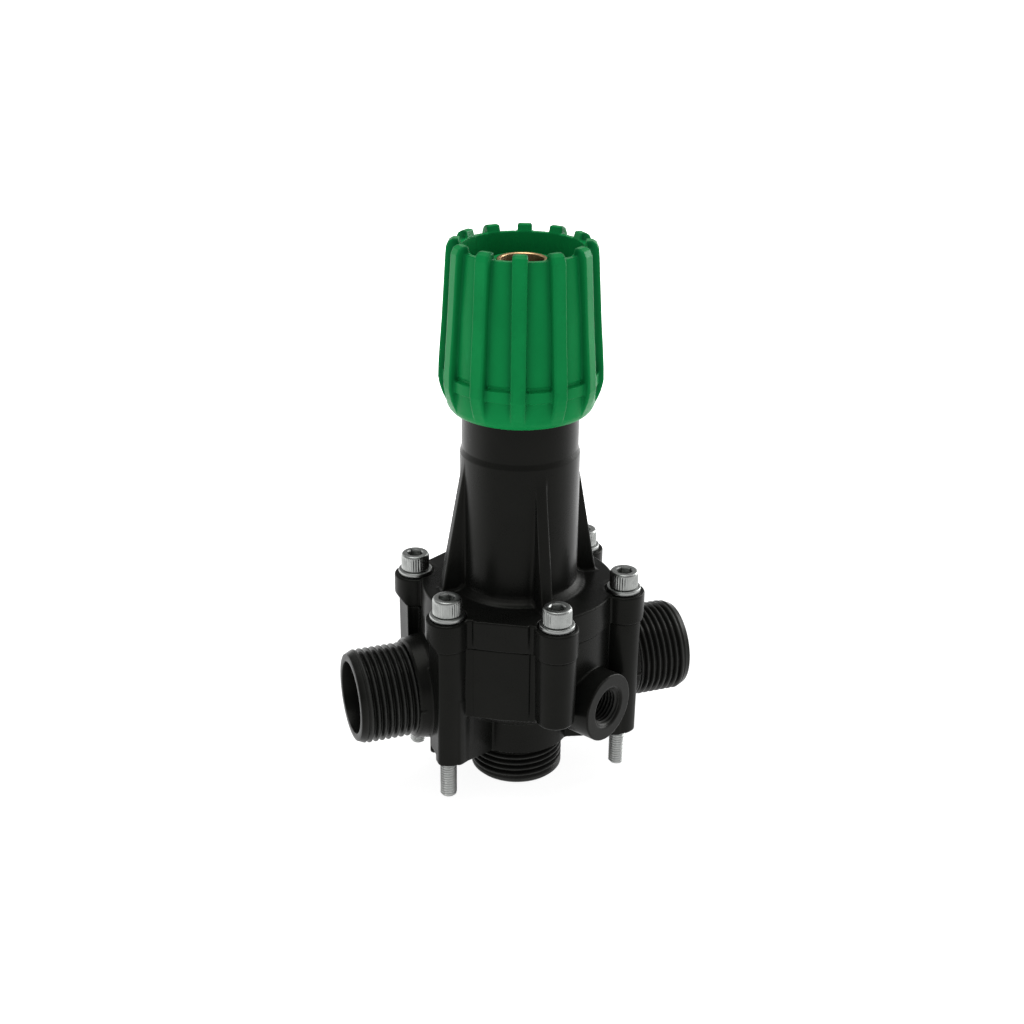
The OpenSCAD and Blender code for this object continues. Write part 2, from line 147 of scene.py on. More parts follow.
def surface(name, field, lo, hi, cell, decimate=1.0, coarse=6):
    """Closed mesh of field(x, y, z) = 0 in the box lo..hi, in metres. Vertices are moved onto the surface and shaded by the field's own slope."""
    lo = np.array(lo, float) - 2 * cell
    n = np.ceil((np.array(hi, float) + 2 * cell - lo) / cell).astype(int)
    n = ((n + coarse - 1) // coarse) * coarse
    ax = [lo[i] + cell * np.arange(n[i] + 1) for i in range(3)]
    # which blocks the surface can pass
    nb = n // coarse
    cx = [lo[i] + cell * coarse * (np.arange(nb[i]) + 0.5) for i in range(3)]
    X, Y, Z = np.meshgrid(*cx, indexing="ij")
    c = field(X.ravel(), Y.ravel(), Z.ravel()).reshape(nb)
    near = np.abs(c) < cell * coarse * 0.5 * 1.7321 * 1.35 + cell
    S = np.repeat(np.repeat(np.repeat(np.where(c < 0, -9.0, 9.0).astype(np.float32), coarse, 0), coarse, 1), coarse, 2)
    S = np.pad(S, ((0, 1), (0, 1), (0, 1)), mode="edge")
    mask = np.zeros(n + 1, bool)
    bi = np.argwhere(near)
    for i, j, k in bi:
        mask[i * coarse:(i + 1) * coarse + 1, j * coarse:(j + 1) * coarse + 1, k * coarse:(k + 1) * coarse + 1] = True
    idx = np.argwhere(mask)
    vals = np.empty(len(idx), np.float32)
    step = 400000
    for s in range(0, len(idx), step):
        q = idx[s:s + step]
        vals[s:s + step] = field(ax[0][q[:, 0]], ax[1][q[:, 1]], ax[2][q[:, 2]])
    vals[vals == 0] = 1e-6
    S[mask] = vals
    ins = (S < 0)
    cnt = np.zeros(n, np.uint8)
    for a in (0, 1):
        for b in (0, 1):
            for d in (0, 1):
                cnt += ins[a:n[0] + a, b:n[1] + b, d:n[2] + d]
    cells = np.argwhere((cnt > 0) & (cnt < 8))
    vid = np.full(n, -1, np.int32)
    vid[cells[:, 0], cells[:, 1], cells[:, 2]] = np.arange(len(cells))
    acc = np.zeros((len(cells), 3))
    num = np.zeros(len(cells))
    corners = [(a, b, d) for a in (0, 1) for b in (0, 1) for d in (0, 1)]
    cv = {q: S[cells[:, 0] + q[0], cells[:, 1] + q[1], cells[:, 2] + q[2]].astype(float) for q in corners}
    for q in corners:
        for axis in range(3):
            if q[axis] == 0:
                w = list(q); w[axis] = 1; w = tuple(w)
                a, b = cv[q], cv[w]
                cr = (a < 0) != (b < 0)
                t = np.where(cr, a / np.where(cr, a - b, 1), 0)
                p = np.array(q, float)[None, :] + 0 * acc
                p[:, axis] += t
                acc += np.where(cr[:, None], p, 0)
                num += cr
    P = lo + cell * (cells + acc / num[:, None])

    def grad(P, e):
        g = np.empty_like(P)
        for i in range(3):
            d = np.zeros(3); d[i] = e
            g[:, i] = (field(*(P + d).T) - field(*(P - d).T)) / (2 * e)
        return g

    start = P.copy()
    for _ in range(3):
        f = field(*P.T)
        g = grad(P, 0.02)
        step_v = f[:, None] * g / np.maximum((g * g).sum(1), 0.05)[:, None]
        length = np.linalg.norm(step_v, axis=1)
        step_v *= np.minimum(1, 0.5 * cell / np.maximum(length, 1e-9))[:, None]
        P = P - step_v
        off = P - start
        length = np.linalg.norm(off, axis=1)
        P = start + off * np.minimum(1, 0.9 * cell / np.maximum(length, 1e-9))[:, None]
    quads = []
    for axis in range(3):
        o1, o2 = [(1, 2), (2, 0), (0, 1)][axis]
        a = ins[tuple(slice(0, n[i]) if i == axis else slice(0, n[i] + 1) for i in range(3))]
        b = ins[tuple(slice(1, n[i] + 1) if i == axis else slice(0, n[i] + 1) for i in range(3))]
        e = np.argwhere(a != b)
        e = e[(e[:, o1] > 0) & (e[:, o2] > 0) & (e[:, o1] < n[o1]) & (e[:, o2] < n[o2])]
        sign = a[e[:, 0], e[:, 1], e[:, 2]]
        d1 = np.zeros(3, int); d1[o1] = 1
        d2 = np.zeros(3, int); d2[o2] = 1
        q = [e - d1 - d2, e - d2, e, e - d1]
        q = np.stack([vid[p[:, 0], p[:, 1], p[:, 2]] for p in q], 1)
        q[~sign] = q[~sign][:, ::-1]
        quads.append(q)
    F = np.vstack(quads)
    me = bpy.data.meshes.new(name)
    me.from_pydata((P * MM).tolist(), [], F.tolist())
    me.validate()
    ob = bpy.data.objects.new(name, me)
    bpy.context.scene.collection.objects.link(ob)
    if decimate < 1:
        mod = ob.modifiers.new("lean", "DECIMATE")
        mod.ratio = decimate
        dg = bpy.context.evaluated_depsgraph_get()
        me2 = bpy.data.meshes.new_from_object(ob.evaluated_get(dg))
        ob.modifiers.clear()
        ob.data = me2
        bpy.data.meshes.remove(me)
        me = me2
        me.name = name
    me.polygons.foreach_set("use_smooth", np.ones(len(me.polygons), bool))
    co = np.empty(len(me.vertices) * 3)
    me.vertices.foreach_get("co", co)
    co = co.reshape(-1, 3) / MM
    g = grad(co, 0.06)
    length = np.linalg.norm(g, axis=1)
    g = g / np.maximum(length, 1e-9)[:, None]
    me.normals_split_custom_set_from_vertices(g.tolist())
    print("mesh", name, len(me.vertices), "vertices", len(me.polygons), "faces")
    return ob


# ------------------------------------------------------------------ explicit meshes
def mesh_object(name, verts, faces, smooth=True, angle=None):
    me = bpy.data.meshes.new(name)
    me.from_pydata([tuple(float(c) * MM for c in v) for v in verts], [], [tuple(int(i) for i in f) for f in faces])
    me.validate()
    me.polygons.foreach_set("use_smooth", np.full(len(me.polygons), smooth))
    if angle is not None:
        me.set_sharp_from_angle(angle=math.radians(angle))
    ob = bpy.data.objects.new(name, me)
    bpy.context.scene.collection.objects.link(ob)
    return ob


def tag(ob, name, values):
    """Stores one value per vertex for the material to read."""
    at = ob.data.attributes.new(name, "FLOAT", "POINT")
    at.data.foreach_set("value", np.asarray(values, np.float32))
    return ob


def rings(points, closed_u=True, closed_v=False):
    """Vertices and quads of a grid of points, shape (rings, around, 3)."""
    nr, na = points.shape[:2]
    v = points.reshape(-1, 3)
    i = np.arange(nr - 1 if not closed_v else nr)[:, None]
    j = np.arange(na if closed_u else na - 1)[None, :]
    i2, j2 = (i + 1) % nr, (j + 1) % na
    f = np.stack([i * na + j, i * na + j2, i2 * na + j2, i2 * na + j], -1).reshape(-1, 4)
    return v, f


def lathe(name, profile, seg=96, closed=False, angle=35, axis="z", flip=False):
    """Surface of revolution of (r, z) points. Points at r = 0 close it; closed joins the last point to the first."""
    prof = np.array(profile, float)
    a = np.linspace(0, 2 * math.pi, seg, endpoint=False)
    verts, faces, rows = [], [], []
    for r, z in prof:
        if r <= 1e-6:
            rows.append([len(verts)])
            verts.append((0, 0, z))
        else:
            rows.append(list(range(len(verts), len(verts) + seg)))
            verts.extend((r * math.cos(t), r * math.sin(t), z) for t in a)
    n = len(rows)
    for i in range(n if closed else n - 1):
        A, B = rows[i], rows[(i + 1) % n]
        for j in range(seg):
            k = (j + 1) % seg
            if len(A) == 1 and len(B) == 1:
                continue
            if len(A) == 1:
                f = (A[0], B[k], B[j])
            elif len(B) == 1:
                f = (A[j], A[k], B[0])
            else:
                f = (A[j], A[k], B[k], B[j])
            faces.append(f[::-1] if flip else f)
    return mesh_object(name, verts, faces, angle=angle)


def arc(cx, cz, r, a0, a1, n=6):
    """Points of a circular arc in the (r, z) half plane, angles in degrees."""
    return [(cx + r * math.cos(math.radians(a0 + (a1 - a0) * i / n)), cz + r * math.sin(math.radians(a0 + (a1 - a0) * i / n))) for i in range(n + 1)]


def join(objects, name):
    """Joins meshes that share material and body into one object."""
    for o in bpy.context.selected_objects:
        o.select_set(False)
    for o in objects:
        o.select_set(True)
    bpy.context.view_layer.objects.active = objects[0]
    with bpy.context.temp_override(active_object=objects[0], selected_objects=objects, selected_editable_objects=objects):
        bpy.ops.object.join()
    objects[0].name = name
    objects[0].data.name = name
    return objects[0]


# ------------------------------------------------------------------ materials
class Mat:
    """Small helper around a node tree."""

    def __init__(self, name):
        self.m = bpy.data.materials.new(name)
        self.m.use_nodes = True
        self.t = self.m.node_tree
        self.b = self.t.nodes["Principled BSDF"]
        self.co = self.t.nodes.new("ShaderNodeTexCoord")

    def node(self, kind, **values):
        n = self.t.nodes.new(kind)
        for k, v in values.items():
            if k.startswith("_"):
                setattr(n, k[1:], v)
            else:
                n.inputs[k].default_value = v
        return n

    def link(self, a, b):
        self.t.links.new(a, b)

    def noise(self, scale, detail=4.0, rough=0.55, stretch=None):
        n = self.node("ShaderNodeTexNoise", Scale=scale, Detail=detail, Roughness=rough)
        if stretch:
            mp = self.node("ShaderNodeMapping", Scale=stretch)
            self.link(self.co.outputs["Object"], mp.inputs["Vector"])
            self.link(mp.outputs["Vector"], n.inputs["Vector"])
        else:
            self.link(self.co.outputs["Object"], n.inputs["Vector"])
        return n.outputs["Fac"]

    def ramp(self, fac, stops):
        n = self.node("ShaderNodeValToRGB")
        self.link(fac, n.inputs["Fac"])
        e = n.color_ramp.elements
        while len(e) < len(stops):
            e.new(0.5)
        for i, (p, c) in enumerate(stops):
            e[i].position = p
            e[i].color = (c[0], c[1], c[2], 1) if hasattr(c, "__len__") else (c, c, c, 1)
        return n.outputs["Color"]

    def rng(self, fac, lo, hi, a=0.0, b=1.0):
        n = self.node("ShaderNodeMapRange")
        self.link(fac, n.inputs["Value"])
        n.inputs["From Min"].default_value = a
        n.inputs["From Max"].default_value = b
        n.inputs["To Min"].default_value = lo
        n.inputs["To Max"].default_value = hi
        return n.outputs["Result"]

    def mix(self, fac, a, b, kind="MIX"):
        n = self.t.nodes.new("ShaderNodeMix")
        n.data_type = "RGBA"
        n.blend_type = kind
        for s, v in ((n.inputs[0], fac), (n.inputs[6], a), (n.inputs[7], b)):
            if hasattr(v, "links"):
                self.link(v, s)
            else:
                s.default_value = v if not hasattr(v, "__len__") else (*v[:3], 1)
        return n.outputs[2]

    def math(self, op, a, b=0.0):
        n = self.node("ShaderNodeMath", _operation=op)
        for s, v in ((n.inputs[0], a), (n.inputs[1], b)):
            if hasattr(v, "links"):
                self.link(v, s)
            else:
                s.default_value = v
        return n.outputs[0]

    def bump(self, height, strength, distance=0.0002, normal=None):
        n = self.node("ShaderNodeBump", Strength=strength, Distance=distance)
        self.link(height, n.inputs["Height"])
        if normal is not None:
            self.link(normal, n.inputs["Normal"])
        return n.outputs["Normal"]

    def out(self, color=None, rough=None, normal=None, metal=0.0, spec=0.5, tint=(1, 1, 1), coat=0.0, coat_rough=0.1):
        for s, v in (("Base Color", color), ("Roughness", rough)):
            if hasattr(v, "links"):
                self.link(v, self.b.inputs[s])
            elif v is not None:
                self.b.inputs[s].default_value = (*v, 1) if hasattr(v, "__len__") else v
        if normal is not None:
            self.link(normal, self.b.inputs["Normal"])
        self.b.inputs["Metallic"].default_value = metal
        self.b.inputs["Specular IOR Level"].default_value = spec
        self.b.inputs["Specular Tint"].default_value = (*tint, 1)
        self.b.inputs["Coat Weight"].default_value = coat
        self.b.inputs["Coat Roughness"].default_value = coat_rough
        return self.m


# Mask of convex edges, used for a painted highlight
def pointy_edge_highlight(M, lo=0.5, hi=0.56):
    g = M.t.nodes.new("ShaderNodeNewGeometry")
    return M.rng(g.outputs["Pointiness"], 0, 1, lo, hi)


def tagged(M, name):
    """Value of a per-vertex attribute of the mesh, 0 where a mesh has none."""
    n = M.t.nodes.new("ShaderNodeAttribute")
    n.attribute_name = name
    return n.outputs["Fac"]


def black_nylon():
    M = Mat("black_nylon")
    cloud = M.noise(60, 5, 0.6)
    fine = M.noise(2600, 3, 0.6)
    flow = M.noise(220, 4, 0.6, (1, 1, 0.35))
    col = M.ramp(cloud, [(0.3, (0.0042, 0.0044, 0.0039)), (0.7, (0.0064, 0.0066, 0.0059))])
    spec = M.ramp(fine, [(0.62, 0.0), (0.75, 1.0)])
    col = M.mix(M.math("MULTIPLY", spec, 0.12), col, (0.03, 0.03, 0.03))
    # painted highlight: thread crests made lighter
    col = M.mix(M.math("MULTIPLY", tagged(M, "crest"), M.rng(cloud, 0.5, 1.0, 0.3, 0.7)), col, (0.036, 0.0365, 0.035))
    rough = M.math("ADD", M.rng(cloud, 0.25, 0.34, 0.3, 0.7), M.rng(fine, -0.03, 0.05, 0.3, 0.7))
    n = M.bump(fine, 0.18, 0.00006)
    n = M.bump(flow, 0.10, 0.0002, n)
    return M.out(col, rough, n, spec=0.085, tint=(1.0, 1.0, 0.93))


def knob_green():
    M = Mat("knob_green")
    cloud = M.noise(70, 4, 0.55)
    fine = M.noise(2200, 3, 0.6)
    col = M.ramp(cloud, [(0.3, (0.0046, 0.200, 0.0505)), (0.7, (0.0056, 0.227, 0.0580))])
    # painted highlight: the convex edges of the ribs made lighter green
    rib_edge_highlight = pointy_edge_highlight(M, 0.56, 0.68)
    col = M.mix(M.math("MULTIPLY", rib_edge_highlight, 0.12), col, (0.02, 0.34, 0.13))
    # painted shade: darker in the roots of the grip ribs
    col = M.mix(M.math("MULTIPLY", tagged(M, "root"), M.rng(cloud, 0.6, 0.9, 0.3, 0.7)), col, (0.0010, 0.070, 0.019))
    rough = M.math("ADD", M.rng(cloud, 0.28, 0.36, 0.3, 0.7), M.rng(fine, -0.03, 0.05, 0.3, 0.7))
    n = M.bump(fine, 0.15, 0.00006)
    return M.out(col, rough, n, spec=0.055, tint=(0.40, 1.0, 0.85))


def zinc_steel(name="zinc_steel", base=(0.32, 0.33, 0.32), rough=(0.24, 0.38)):
    M = Mat(name)
    cloud = M.noise(500, 5, 0.6)
    fine = M.noise(6000, 3, 0.6)
    col = M.ramp(cloud, [(0.3, tuple(c * 0.86 for c in base)), (0.7, base)])
    r = M.rng(cloud, rough[1], rough[0], 0.3, 0.7)
    n = M.bump(fine, 0.12, 0.00004)
    n = M.bump(cloud, 0.10, 0.0001, n)
    return M.out(col, r, n, metal=1.0)


def brass():
    M = Mat("brass")
    cloud = M.noise(300, 5, 0.6)
    turn = M.noise(1200, 3, 0.6, (0.05, 0.05, 4.0))
    col = M.ramp(cloud, [(0.3, (0.62, 0.36, 0.16)), (0.7, (0.83, 0.56, 0.30))])
    # painted shade: darker inside the hollow
    col = M.mix(M.math("MULTIPLY", tagged(M, "root"), 0.9), col, (0.11, 0.075, 0.042))
    r = M.rng(cloud, 0.34, 0.22, 0.3, 0.7)
    n = M.bump(turn, 0.25, 0.00008)
    return M.out(col, r, n, metal=1.0)


def rubber():
    M = Mat("rubber")
    cloud = M.noise(150, 5, 0.6)
    fine = M.noise(4000, 3, 0.6)
    col = M.ramp(cloud, [(0.3, (0.012, 0.012, 0.012)), (0.7, (0.022, 0.022, 0.023))])
    r = M.rng(cloud, 0.55, 0.7, 0.3, 0.7)
    n = M.bump(fine, 0.3, 0.00006)
    return M.out(col, r, n)


MATS = {
    "black_nylon": black_nylon(),
    "knob_green": knob_green(),
    "zinc_steel": zinc_steel(),
    "zinc_thread": zinc_steel("zinc_thread", (0.57, 0.58, 0.57), (0.30, 0.42)),
    "spring_steel": zinc_steel("spring_steel", (0.40, 0.40, 0.42), (0.28, 0.42)),
    "stainless": zinc_steel("stainless", (0.62, 0.62, 0.61), (0.18, 0.30)),
    "brass": brass(),
    "rubber": rubber(),
}


def paint(ob, slot):
    ob.data.materials.clear()
    ob.data.materials.append(MATS[slot])


def piece(ob, body, slot, *nodes):
    paint(ob, slot)
    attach(ob, body)
    if nodes:
        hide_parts(*nodes)
    return ob


for sub in frame["record"]["subparts"]:
    ob = NODES[sub["node"]]
    for s in range(max(1, len(ob.material_slots))):
        if s < len(ob.material_slots):
            ob.material_slots[s].material = MATS[sub["material_slot"]]
        else:
            ob.data.materials.append(MATS[sub["material_slot"]])

# ------------------------------------------------------------------ valve body
R_BOLT = 37.44
PX, PY = R_BOLT * math.cos(math.radians(30)), R_BOLT * math.sin(math.radians(30))
WALL = [(-5, 14.5), (19.2, 14.5), (19.2, 26.6), (34.0, 37.2), (34.0, 66.0), (-5, 66.0)]
PORT_Z = 38.5


def body_field(x, y, z):
    r = np.hypot(x, y)
    ax, ay = np.abs(x), np.abs(y)
    d = poly(r, z, WALL, 0.25)
    # pads between the screws, none above the gauge port
    pn, pt = rot(ax, ay, 60)
    pad = rbox(pn, pt, z, (24, -9.4, 37.4), (34.15, 9.4, 66.0), 0.15)
    pad = smin(pad, rbox(pn, pt, z, (24, -13.8, 37.4), (34.0, 9.9, 66.0), 0.2), 0.1)
    pad = smin(pad, rbox(pn, pt, z, (24, 9, 37.4), (33.7, 13.6, 66.0), 0.2), 0.2)
    d = smin(d, np.where((x > 0) & (y < 0), 99.0, pad), 0.6)
    # flat roots of the side ports
    d = smin(d, rbox(ax, ay, z, (-5, -12.6, 37), (33.5, 12.6, 66.0), 0.4), 0.6)
    # long screw posts with their ribs and webs
    rad = 6.4 + 0.6 * (z - 19) / 45
    post = np.hypot(ax - PX, ay - PY) - rad
    fill = rbox(ax, ay, z, (24, 13.0, 21.6), (37.9, 19.5, 66.5), 0.3)
    post = smin(post, fill, 0.4)
    rib = rbox(ax, ay, z, (24, 12.6, 18.6), (38.2, 13.8, 67), 0.3)
    post = smin(post, rib, 0.3)
    post = smax(post, ax - 37.3, 0.6)
    post = smax(post, 19.0 - z, 0.8)
    # hollow between rib and post at the foot
    post = smax(post, -rbox(ax, ay, z, (34.2, 13.95, 15), (45, 19.5, 21.6), 0.5), 0.4)
    s, t = rot(ax, ay, 30)
    web = smax(poly(s, z, [(10, 14.5), (19.0, 14.5), (38.6, 19.2), (38.6, 44), (10, 44)], 0.3), (np.abs(t) - 4.4 - np.clip(s - 18.7, 0, 18.2) * 0.113) * 0.993, 0.6)
    post = smin(post, web, 1.2)
    d = smin(d, post, 0.7)
    # short screw bosses
    rad = 6.6 + 0.4 * (z - 38) / 26
    boss = smax(np.hypot(x, ay - R_BOLT) - rad, 38.0 - z, 1.2)
    d = smin(d, boss, 1.0)
    # gauge port boss
    gn, gt = rot(x, y, -60)
    gr = np.hypot(gt, z - PORT_Z)
    gauge = poly(gr, gn, [(-3, 5), (12.3, 5), (12.3, 41.5), (-3, 41.5)], 0.5)
    d = smin(d, gauge, 0.7)
    # necks of the three large ports
    pr = np.hypot(y, z - PORT_Z)
    neck = poly(pr, ax, [(-5, 20), (18.6, 20), (18.5, 36.3), (17.75, 41.15), (16.95, 41.9), (-5, 41.9)], 0.12)
    # moulding flash along the parting line
    neck = smin(neck, rbox(ax, ay, z, (37.5, 16.5, 38.0), (41.6, 18.1, 39.0), 0.22), 0.25)
    d = smin(d, neck, 0.8)
    d = smin(d, np.maximum(r - 15.2, slab(z, 12.9, 30)), 0.6)
    # joint face to the bonnet
    d = smax(d, z - 64.0, 0.45)
    # hollows
    hole = pr - 12.75
    hole = np.minimum(hole, np.maximum(r - 27, 38 - z))
    hole = np.minimum(hole, np.maximum(r - 15.5, slab(z, 22, 42)))
    hole = np.minimum(hole, np.maximum(r - 12.75, z - 30))
    hole = np.minimum(hole, np.maximum(r - 32.5, 63 - z))
    gh = np.maximum(gr - 7.0, slab(gn, 28.5, 45))
    gh = np.minimum(gh, poly(gr, gn, [(-1, 40.7), (6.9, 40.7), (8.3, 42.1), (8.3, 46), (-1, 46)]))
    gh = np.minimum(gh, np.maximum(gr - 3, slab(gn, 20, 33)))
    hole = np.minimum(hole, gh)
    bolt = np.minimum(np.hypot(ax - PX, ay - PY), np.where(z > 42, np.hypot(x, ay - R_BOLT), 99.0))
    hole = np.minimum(hole, bolt - 3.2)
    hole = np.minimum(hole, np.maximum(bolt - 4.1, 52 - z))
    return smax(d, -hole, 0.3)


# ------------------------------------------------------------------ bonnet
TOWER = [(-5, 73), (22.9, 73), (22.9, 75.2), (20.75, 77.2), (20.6, 78.5), (20.6, 124.3), (20.0, 126.2), (20.0, 149.5), (-5, 149.5)]


def bonnet_field(x, y, z):
    r = np.hypot(x, y)
    ax, ay = np.abs(x), np.abs(y)
    d = poly(r, z, [(-5, 61.0), (34.5, 61.0), (34.5, 66.0), (34.2, 77.0), (-5, 77.0)], 0.5)
    pn, pt = rot(ax, ay, 60)
    face = poly(pt, z, [(-9.6, 65.6), (-8.2, 64.0), (-8.2, 61.0), (8.2, 61.0), (8.2, 64.0), (9.6, 65.6), (9.6, 77.0), (-9.6, 77.0)], 0.3)
    d = smin(d, np.where((x > 0) & (y < 0), 99.0, smax(face, np.maximum(24 - pn, (pn - 34.35 - (z - 64.0) * 0.075) * 0.997), 0.6)), 0.6)
    fill = np.maximum(np.abs(pt) - 12.5, np.maximum(24 - pn, pn - 34.2))
    d = smin(d, np.where((x > 0) & (y < 0), 99.0, fill), 0.4)
    d = smax(d, z - 75.0, 0.9)
    # screw bosses
    boss = np.hypot(ax - PX, ay - PY) - 7.5
    boss = smax(boss, (ax - 37.6) * 0.79 - (z - 64.0) * 0.61, 0.5)
    boss = smin(boss, np.hypot(x, ay - R_BOLT) - 7.5, 0)
    boss = smax(boss, z - 74.4, 0.9)
    d = smin(d, boss, 1.2)
    d = smax(d, 64.0 - z, 0.45)
    # tower with its ribs
    tower = poly(r, z, TOWER, 0.25)
    s = np.maximum(ax, ay)
    t = np.minimum(ax, ay)
    rib = smax(poly(s, z, [(10, 73), (28.8, 73), (28.8, 75.8), (19.0, 129.7), (10, 129.7)], 0.5), t - (2.15 - 0.004 * (z - 75)), 0.9)
    tower = smin(tower, rib, np.clip(1.6 - (z - 80) * 0.03, 0.5, 1.6))
    d = smin(d, tower, 1.4)
    # hollows
    hole = np.maximum(r - 32.5, z - 65)
    hole = np.minimum(hole, poly(r, z, [(-2, 60), (27, 60), (27, 68), (22, 71), (-2, 71)]))
    hole = np.minimum(hole, np.maximum(r - 16.5, z - 139))
    hole = np.minimum(hole, np.maximum(r - 11.0, 120 - z))
    bolt = np.minimum(np.hypot(ax - PX, ay - PY), np.hypot(x, ay - R_BOLT))
    hole = np.minimum(hole, bolt - 3.2)
    d = smax(d, -np.maximum(bolt - 6.6, 74.4 - z), 0.3)
    return smax(d, -hole, 0.3)


# ------------------------------------------------------------------ knob
SHELL = [(20.6, 139.2), (21.7, 139.2), (23.7, 140.1), (24.5, 141.1), (25.0, 142.2), (25.3, 145.0), (25.4, 149.4), (26.0, 149.5), (26.0, 153.3), (24.55, 153.5), (24.5, 154.3), (24.85, 154.8), (24.7, 160),
         (23.9, 175), (22.5, 191), (22.1, 194.7), (20.0, 194.7), (19.6, 180), (19.4, 167), (11.3, 167), (11.0, 190.0), (8.5, 190.0),
         (8.5, 163), (21.3, 163), (21.3, 152), (20.6, 150)]
GRIP = [(22.2, 141.0), (24.3, 141.0), (25.0, 142.2), (26.0, 144.3), (26.8, 146.4), (27.35, 148.5), (27.7, 150.5), (27.55, 155), (27.05, 162), (26.4, 170),
        (25.75, 180), (25.0, 192), (24.75, 194.6), (23.9, 196.3), (22.6, 197.1), (20.6, 197.1), (20.0, 195.0), (20.0, 191), (21.0, 170), (22, 150)]
KNOB_TURN, KNOB_RIBS = 7.7, 12


def knob_field(x, y, z):
    r = np.hypot(x, y)
    d = poly(r, z, SHELL, 0.15)
    a = np.arctan2(y, x) - math.radians(KNOB_TURN)
    w = 2 * math.pi / KNOB_RIBS
    a = (a + w / 2) % w - w / 2
    s, t = r * np.cos(a), r * np.sin(a)
    rib = smax(poly(s, z, GRIP, 0.5), np.abs(t) - 2.45, 0.8)
    return smin(d, rib, np.clip((z - 141.5) * 0.2, 0.25, 0.6))


CELL = 0.5
body = surface("body_shell", body_field, (-42, -45, 12), (42, 45, 64.2), CELL, 0.5)
bonnet = surface("bonnet_shell", bonnet_field, (-41, -45, 63.8), (41, 45, 149.8), CELL, 0.5)
knob = surface("knob_shell", knob_field, (-28, -28, 138), (28, 28, 198), CELL * 0.8, 0.5)


def rib_root(ob):
    """How deep each vertex sits in the corner between a grip rib and the wall, 0 to 1."""
    co = np.empty(len(ob.data.vertices) * 3)
    ob.data.vertices.foreach_get("co", co)
    x, y, z = co.reshape(-1, 3).T / MM
    r = np.hypot(x, y)
    w = 2 * math.pi / KNOB_RIBS
    a = (np.arctan2(y, x) - math.radians(KNOB_TURN) + w / 2) % w - w / 2
    out = np.abs(r * np.sin(a)) - 2.45
    wall = np.interp(z, [139, 142, 150, 153, 160, 175, 191, 195], [22, 25, 25.4, 26, 24.7, 23.9, 22.5, 22.1])
    deep = np.exp(-np.maximum(out, 0) / 1.0) * np.exp(-np.maximum(r - wall, 0) / 1.3)
    return deep * np.clip((z - 143) / 6, 0, 1) * (out > -0.9) * (r > wall - 1.2)


# mask for the painted shade in the roots of the grip ribs
tag(knob, "root", rib_root(knob))


# ------------------------------------------------------------------ pipe threads
def thread_wave(u):
    """Height of a rounded 55 degree thread at phase u, 1 on the crest and 0 in the root."""
    w = np.abs(2 * (u % 1.0) - 1)
    h = np.clip((0.5 - w) * 1.5 + 0.5, 0, 1)
    return h * h * (3 - 2 * h) * 0.55 + h * 0.45


def male_port(name, length, end_z, rim, slope, crest, root, bore, first, ramp, last, pitch, phase, seg, step):
    """Threaded pipe end that points down from z = length to z = 0: outside with helical thread, end face and bore."""
    a = np.linspace(0, 2 * math.pi, seg, endpoint=False)
    z = np.arange(end_z, length + step / 2, step)
    z = z * (length - end_z) / (z[-1] - end_z) + end_z * (1 - (length - end_z) / (z[-1] - end_z))
    Z, A = np.meshgrid(z, a, indexing="ij")
    u = (Z - A / (2 * math.pi) * pitch) / pitch + phase
    h = thread_wave(u)
    # groove depth grows in from the end and fades out at the neck
    zz = Z
    lead = np.clip((zz - first) / (ramp * pitch), 0, 1)
    runout = np.clip((last - zz) / (0.7 * pitch), 0, 1)
    height = 1 - (1 - h) * lead
    Rr = root + (crest - root) * height * runout
    cone = rim + (zz - end_z) * slope
    Rr = np.minimum(Rr, cone + 0 * Rr)
    P = np.stack([Rr * np.cos(A), Rr * np.sin(A), Z], -1)
    rows = [P]
    front = []
    for r, zr in [(rim - 0.05, 0.12), (rim - 0.3, 0.0), ((rim + bore) / 2, 0.0), (bore + 0.35, 0.0), (bore + 0.08, 0.1), (bore, 0.35), (bore, length * 0.5), (bore, length)]:
        front.append(np.stack([r * np.cos(a), r * np.sin(a), np.full(seg, zr)], -1))
    grid = np.concatenate([P[::-1], np.array(front)], 0)
    v, f = rings(grid, closed_u=True, closed_v=True)
    # mask for the painted highlight on the thread crests
    crest_highlight = np.zeros(grid.shape[:2])
    crest_highlight[:len(z)] = np.clip((Rr - root) / (crest - root), 0, 1)[::-1] ** 3
    return tag(mesh_object(name, v, f[:, ::-1], angle=40), "crest", crest_highlight.ravel())


seg = 192
step = 0.165
PITCH = 2.309
side_len = 62.2 - 41.5
left = male_port("body_left_thread", side_len, 0.25, 15.45, 0.46, 16.6, 15.2, 12.75, 1.5, 1.15, 24.0, PITCH, 0.66, seg, step)
left.matrix_world = Matrix.Translation((-62.2 * MM, 0, PORT_Z * MM)) @ Matrix.Rotation(math.radians(90), 4, "Y")
right_t = male_port("body_right_thread", side_len, 0.25, 15.45, 0.46, 16.6, 15.2, 12.75, 1.5, 1.15, 24.0, PITCH, 0.82, seg, step)
right_t.matrix_world = Matrix.Translation((62.2 * MM, 0, PORT_Z * MM)) @ Matrix.Rotation(math.radians(-90), 4, "Y")
bottom = male_port("body_bottom_thread", 13.2, 0.25, 15.7, 1.15, 16.6, 15.2, 12.75, 2.0, 0.8, 12.9, PITCH, 0.6, seg, step)


